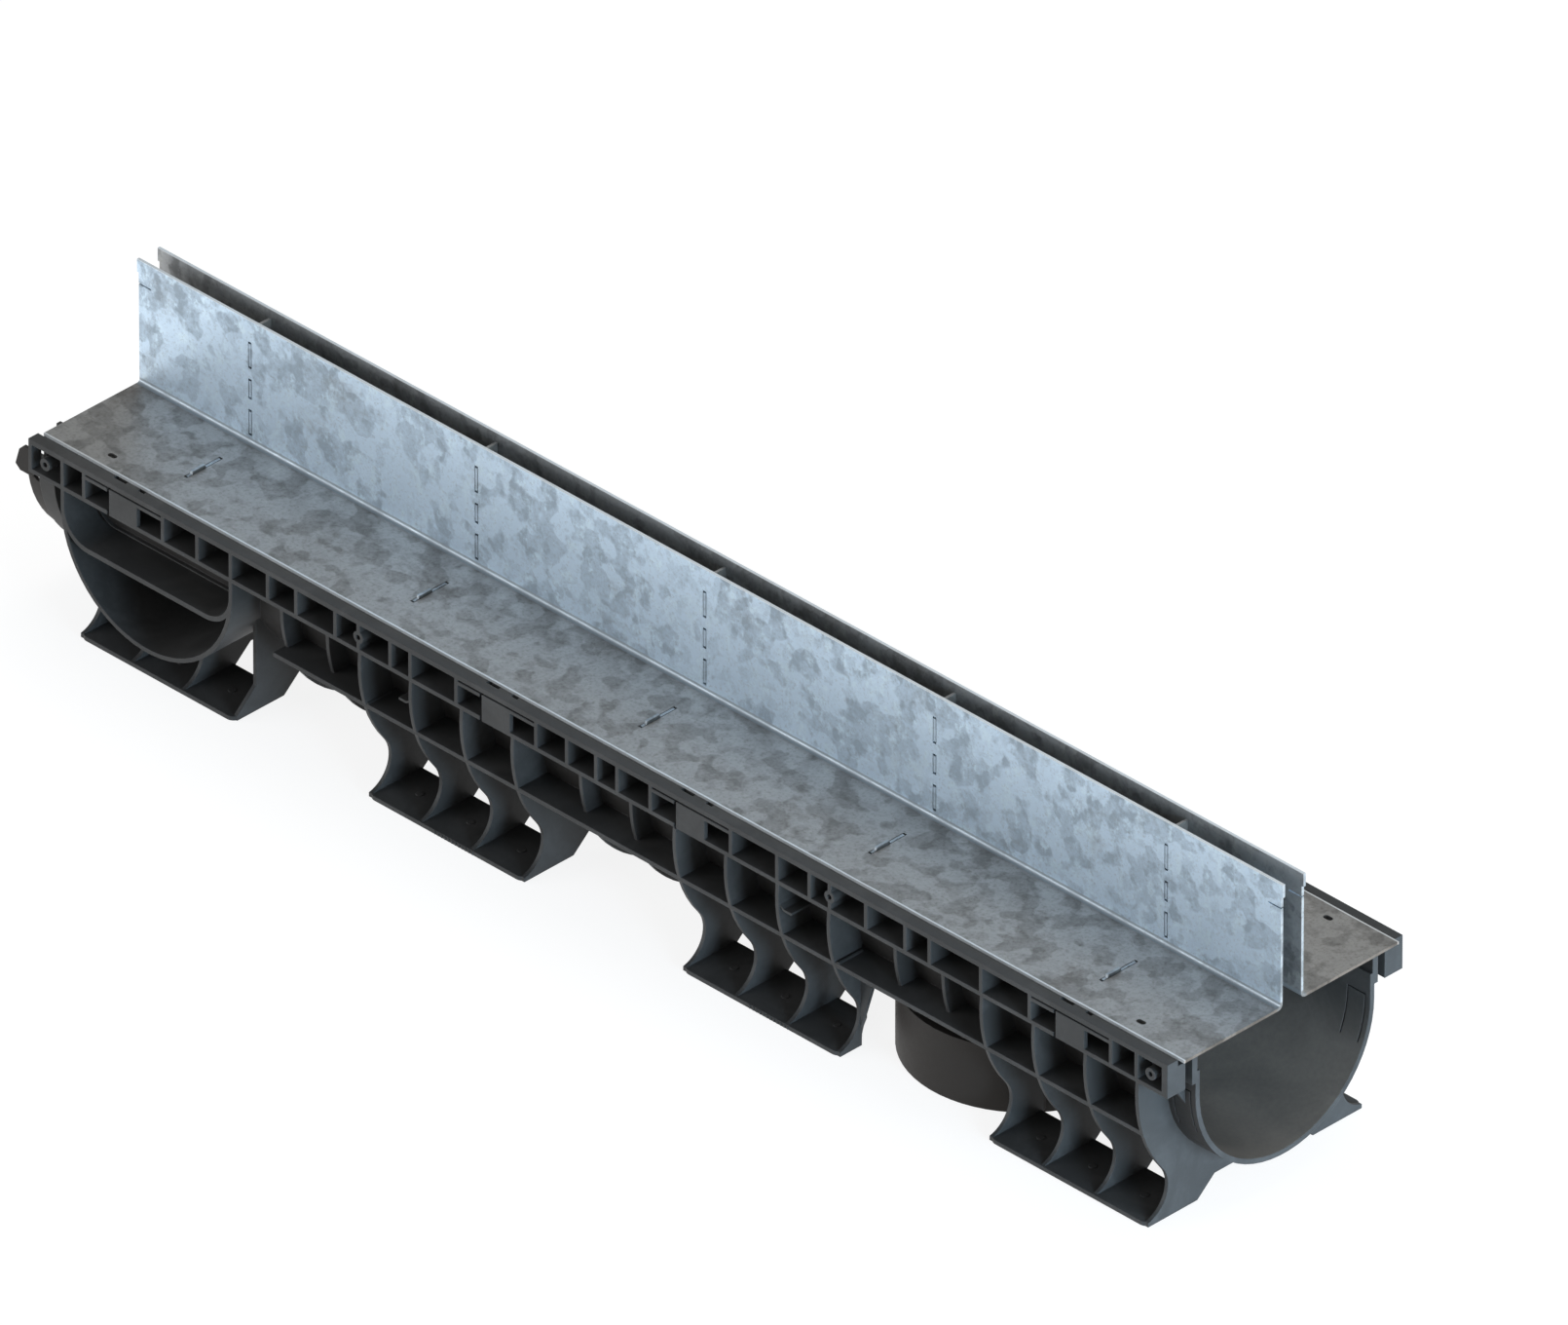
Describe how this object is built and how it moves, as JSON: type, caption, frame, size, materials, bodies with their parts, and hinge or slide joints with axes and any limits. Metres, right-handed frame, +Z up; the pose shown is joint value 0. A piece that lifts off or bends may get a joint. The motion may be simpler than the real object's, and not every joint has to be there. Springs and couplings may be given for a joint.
{
  "type": "slot drainage channel",
  "caption": "Moulded plastic drainage channel on feet with ribbed sides, a round bottom outlet and side branch preforms, topped by a galvanised steel slot.",
  "frame": {"origin": "middle of the bounding box on the underside of the feet", "axes": "+X along the channel from its socket end to its plain end, +Y across it, +Z up"},
  "size_m": [1.0364, 0.205, 0.227],
  "materials": {
    "plastic": "moulded, satin",
    "galvanised": "hot-dip galvanised, spangled"
  },
  "bodies": {
    "root": {"channel_body": "plastic", "near_slot_plate": "galvanised", "far_slot_plate": "galvanised", "spacer_1": "galvanised", "spacer_2": "galvanised", "spacer_3": "galvanised", "spacer_4": "galvanised", "spacer_5": "galvanised"}
  },
  "joints": []
}
